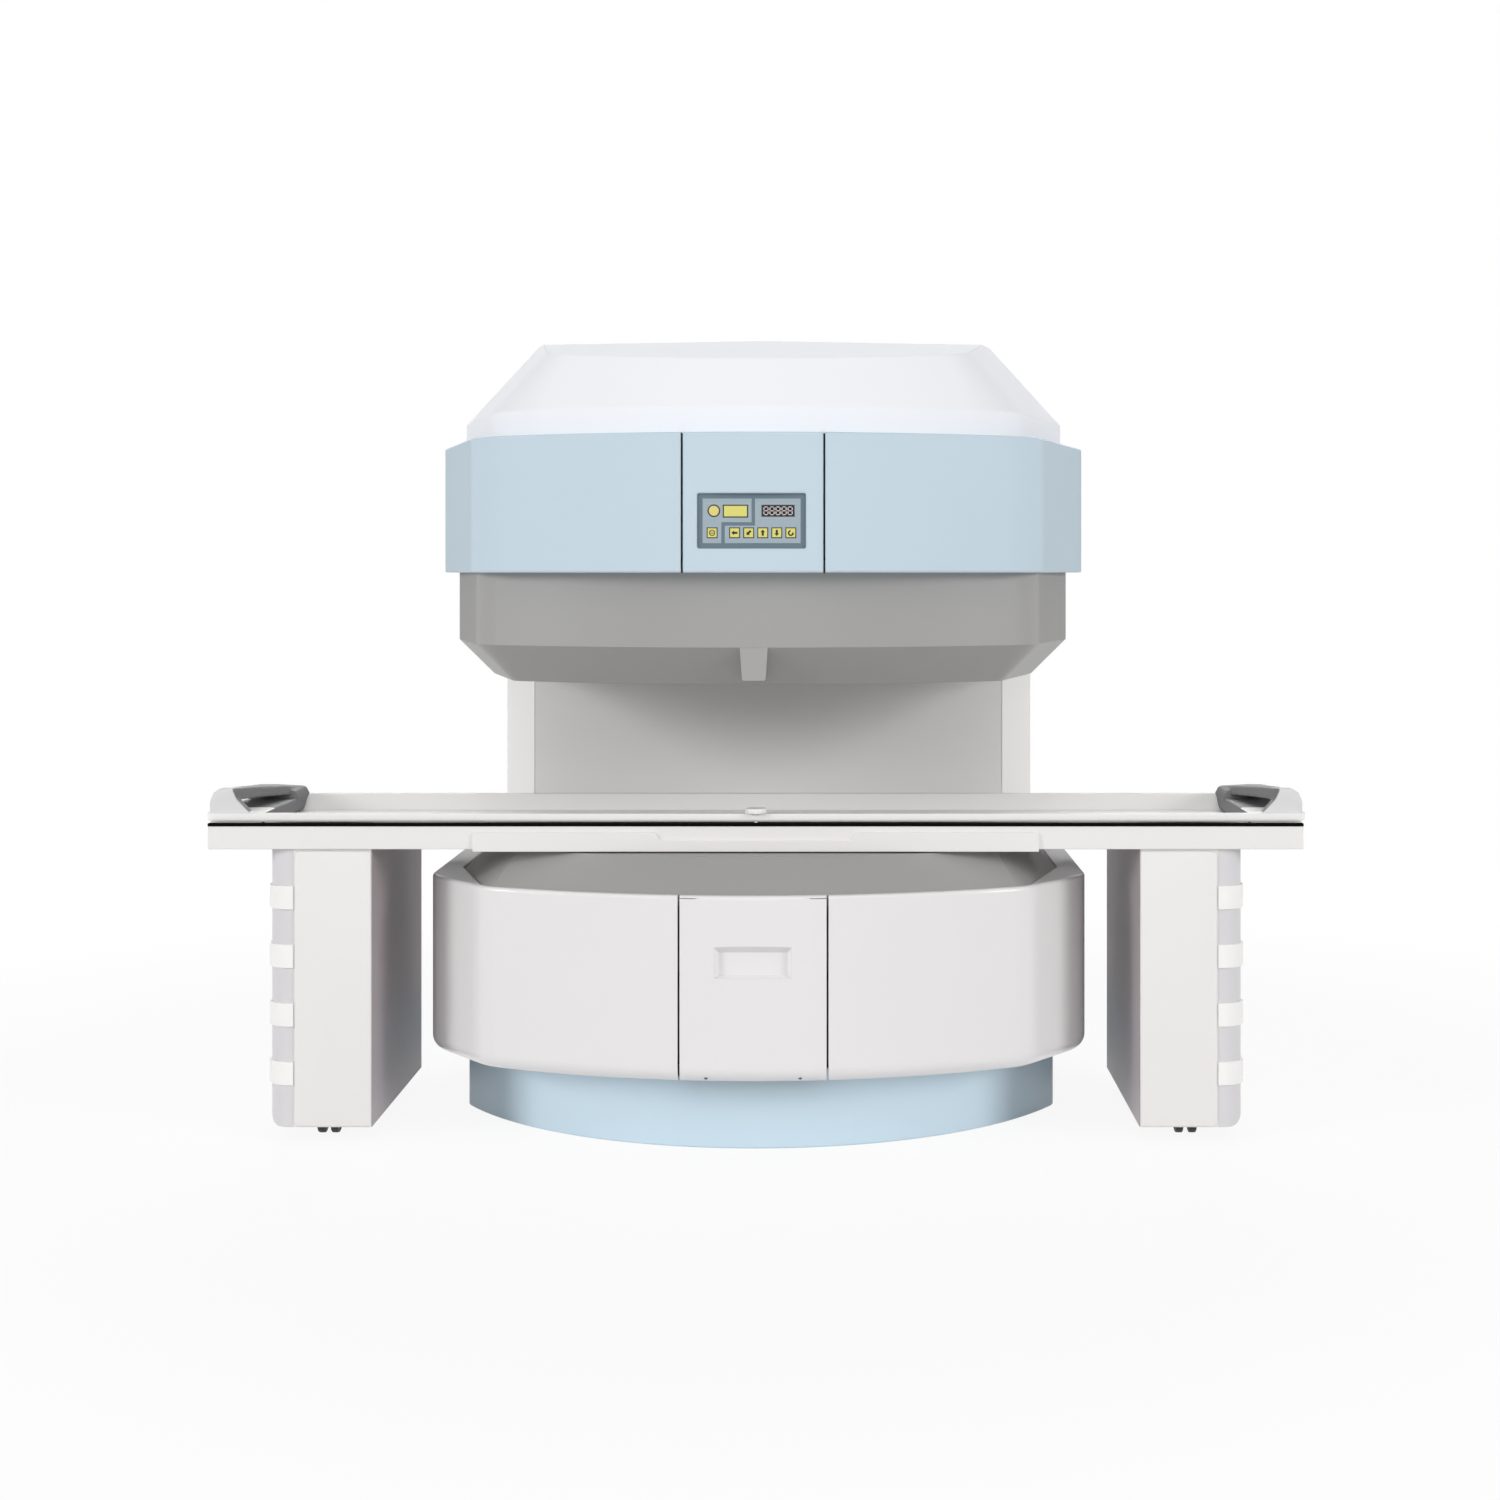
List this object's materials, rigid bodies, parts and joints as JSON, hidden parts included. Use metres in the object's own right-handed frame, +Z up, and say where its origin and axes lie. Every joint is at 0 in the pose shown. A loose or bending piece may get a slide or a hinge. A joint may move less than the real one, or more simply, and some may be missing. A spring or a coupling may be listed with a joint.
{
  "type": "mri scanner",
  "caption": "Open C-shaped MRI scanner with covered magnet poles, a front control panel and a caster-borne patient table whose board slides through the gap.",
  "frame": {"origin": "on the floor under the pole axis, at the underside of the base plate", "axes": "+X along the patient table, +Y from the magnet's front to its rear column, +Z up"},
  "size_m": [2.426, 1.61, 1.828],
  "materials": {
    "cover_white": "smooth sprayed cover",
    "cover_blue": "smooth sprayed cover, pale blue",
    "cover_grey": "satin moulded cover, mid grey",
    "column_white": "satin sprayed panel",
    "panel_slate": "membrane overlay",
    "key_yellow": "moulded key",
    "window_dark": "tinted window",
    "lens_amber": "moulded lens",
    "steel_plate": "ground steel plate, primed",
    "magnet_block": "bonded magnet blocks",
    "pole_iron": "machined iron",
    "coil_resin": "cast resin",
    "housing_grey": "moulded box",
    "laser_grey": "satin moulded housing",
    "laser_glass": "clear window",
    "screw_steel": "plated screw",
    "table_white": "powder coated",
    "leg_white": "powder coated",
    "band_white": "moulded strip",
    "board_white": "gel coated laminate",
    "glide_white": "low friction nylon",
    "guide_aluminium": "extruded",
    "handle_grey": "satin moulded handle",
    "knob_white": "moulded knob",
    "caster_black": "moulded nylon",
    "wheel_black": "rubber tread"
  },
  "bodies": {
    "magnet": {"base_plate": "steel_plate", "levelling_feet": "steel_plate", "lower_yoke": "steel_plate", "rear_column": "steel_plate", "upper_yoke": "steel_plate", "lower_magnet_block": "magnet_block", "upper_magnet_block": "magnet_block", "lower_pole_piece": "pole_iron", "upper_pole_piece": "pole_iron", "lower_gradient_coil": "coil_resin", "upper_gradient_coil": "coil_resin", "plinth_cover": "cover_blue", "base_cover_left": "cover_white", "base_cover_right": "cover_white", "lower_pole_cover": "cover_grey", "upper_pole_cover": "cover_grey", "laser_housing": "laser_grey", "laser_lens": "laser_glass", "ring_cover_left": "cover_blue", "ring_cover_right": "cover_blue", "control_fascia": "cover_blue", "control_panel": "panel_slate", "control_housing": "housing_grey", "digit_window": "window_dark", "indicator_lens": "lens_amber", "top_cover": "cover_white", "column_front_cover": "column_white", "column_side_cover_left": "column_white", "column_side_cover_right": "column_white", "column_rear_cover": "column_white"},
    "hatch": {"hatch": "cover_white", "hatch_screws": "screw_steel"},
    "table": {"front_rail": "table_white", "rear_rail": "table_white", "cross_members": "table_white", "guide_rails": "guide_aluminium", "apron": "table_white", "leg_left": "leg_white", "leg_right": "leg_white", "leg_bands": "band_white", "leg_base_plates": "steel_plate"},
    "board": {"board": "board_white", "board_glides": "glide_white", "end_handle_left": "handle_grey", "end_handle_right": "handle_grey"},
    "lock_knob": {"lock_knob": "knob_white"},
    "key_light": {"key_light": "key_yellow"},
    "key_left": {"key_left": "key_yellow"},
    "key_select": {"key_select": "key_yellow"},
    "key_up": {"key_up": "key_yellow"},
    "key_down": {"key_down": "key_yellow"},
    "key_reset": {"key_reset": "key_yellow"},
    "caster_fork_front_left": {"caster_fork_front_left": "caster_black"},
    "caster_wheels_front_left": {"caster_wheels_front_left": "wheel_black"},
    "caster_fork_front_right": {"caster_fork_front_right": "caster_black"},
    "caster_wheels_front_right": {"caster_wheels_front_right": "wheel_black"},
    "caster_fork_rear_left": {"caster_fork_rear_left": "caster_black"},
    "caster_wheels_rear_left": {"caster_wheels_rear_left": "wheel_black"},
    "caster_fork_rear_right": {"caster_fork_rear_right": "caster_black"},
    "caster_wheels_rear_right": {"caster_wheels_rear_right": "wheel_black"}
  },
  "joints": [
    {"name": "hatch_pull", "type": "slide", "parent": "magnet", "child": "hatch", "axis": [0, -1, 0], "range_m": [0, 0.25]},
    {"name": "table_roll", "type": "slide", "parent": "magnet", "child": "table", "axis": [0, 1, 0], "range_m": [-0.9, 0.25]},
    {"name": "board_slide", "type": "slide", "parent": "table", "child": "board", "axis": [1, 0, 0], "range_m": [-0.5, 0.5]},
    {"name": "knob_turn", "type": "hinge", "parent": "board", "child": "lock_knob", "pos_m": [0, -0.467, 0.73], "axis": [0, 0, 1], "range_deg": [0, 180]},
    {"name": "key_light_press", "type": "slide", "parent": "magnet", "child": "key_light", "axis": [0, 1, 0], "range_m": [0, 0.0008], "stiffness_N_per_m": 900, "springref_m": -0.0006},
    {"name": "key_left_press", "type": "slide", "parent": "magnet", "child": "key_left", "axis": [0, 1, 0], "range_m": [0, 0.0008], "stiffness_N_per_m": 900, "springref_m": -0.0006},
    {"name": "key_select_press", "type": "slide", "parent": "magnet", "child": "key_select", "axis": [0, 1, 0], "range_m": [0, 0.0008], "stiffness_N_per_m": 900, "springref_m": -0.0006},
    {"name": "key_up_press", "type": "slide", "parent": "magnet", "child": "key_up", "axis": [0, 1, 0], "range_m": [0, 0.0008], "stiffness_N_per_m": 900, "springref_m": -0.0006},
    {"name": "key_down_press", "type": "slide", "parent": "magnet", "child": "key_down", "axis": [0, 1, 0], "range_m": [0, 0.0008], "stiffness_N_per_m": 900, "springref_m": -0.0006},
    {"name": "key_reset_press", "type": "slide", "parent": "magnet", "child": "key_reset", "axis": [0, 1, 0], "range_m": [0, 0.0008], "stiffness_N_per_m": 900, "springref_m": -0.0006},
    {"name": "swivel_front_left", "type": "hinge", "parent": "table", "child": "caster_fork_front_left", "pos_m": [-0.958, -0.4, 0.07], "axis": [0, 0, 1], "continuous": true},
    {"name": "roll_front_left", "type": "hinge", "parent": "caster_fork_front_left", "child": "caster_wheels_front_left", "pos_m": [-0.958, -0.38, 0.03], "axis": [1, 0, 0], "continuous": true},
    {"name": "swivel_front_right", "type": "hinge", "parent": "table", "child": "caster_fork_front_right", "pos_m": [0.958, -0.4, 0.07], "axis": [0, 0, 1], "continuous": true},
    {"name": "roll_front_right", "type": "hinge", "parent": "caster_fork_front_right", "child": "caster_wheels_front_right", "pos_m": [0.958, -0.38, 0.03], "axis": [1, 0, 0], "continuous": true},
    {"name": "swivel_rear_left", "type": "hinge", "parent": "table", "child": "caster_fork_rear_left", "pos_m": [-0.958, 0.03, 0.07], "axis": [0, 0, 1], "continuous": true},
    {"name": "roll_rear_left", "type": "hinge", "parent": "caster_fork_rear_left", "child": "caster_wheels_rear_left", "pos_m": [-0.958, 0.05, 0.03], "axis": [1, 0, 0], "continuous": true},
    {"name": "swivel_rear_right", "type": "hinge", "parent": "table", "child": "caster_fork_rear_right", "pos_m": [0.958, 0.03, 0.07], "axis": [0, 0, 1], "continuous": true},
    {"name": "roll_rear_right", "type": "hinge", "parent": "caster_fork_rear_right", "child": "caster_wheels_rear_right", "pos_m": [0.958, 0.05, 0.03], "axis": [1, 0, 0], "continuous": true}
  ]
}
